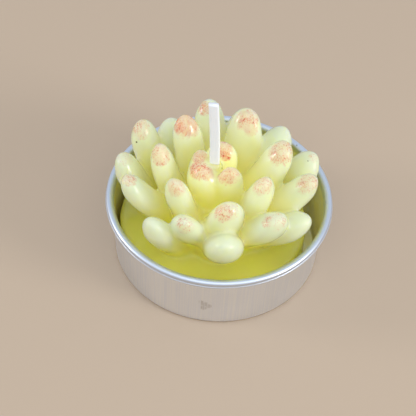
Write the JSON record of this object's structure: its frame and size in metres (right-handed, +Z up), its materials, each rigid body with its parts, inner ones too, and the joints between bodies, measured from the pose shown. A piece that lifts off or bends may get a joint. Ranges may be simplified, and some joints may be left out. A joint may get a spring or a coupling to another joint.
{
  "type": "succulent tealight candle",
  "caption": "Moulded lime wax rosette of plump succulent leaves with pink-tinged tips, standing loose in a drawn aluminium tealight cup, with a flat cotton wick.",
  "frame": {"origin": "middle of the cup's underside, on the surface that it stands on", "axes": "+Z up along the cup's axis, -Y towards the side that faces the viewer in the picture, +X to the viewer's right"},
  "size_m": [0.038, 0.038, 0.0339],
  "materials": {
    "cup_aluminium": "thin drawn sheet, satin, with fine drawing lines and small dents",
    "lime_wax": "translucent moulded wax, lime yellow at the roots, pale green at the tips, with a pink wash and red specks on most tips",
    "wick_cotton": "flat braided cotton, primed with wax, unburnt",
    "sustainer_tinplate": "thin pressed tinplate"
  },
  "bodies": {
    "cup": {"tealight_cup": "cup_aluminium"},
    "candle": {"wax_rosette": "lime_wax", "wick": "wick_cotton", "wick_sustainer": "sustainer_tinplate"}
  },
  "joints": [
    {"name": "candle_lift", "type": "slide", "parent": "cup", "child": "candle", "axis": [0, 0, 1], "range_m": [0, 0.016]}
  ]
}
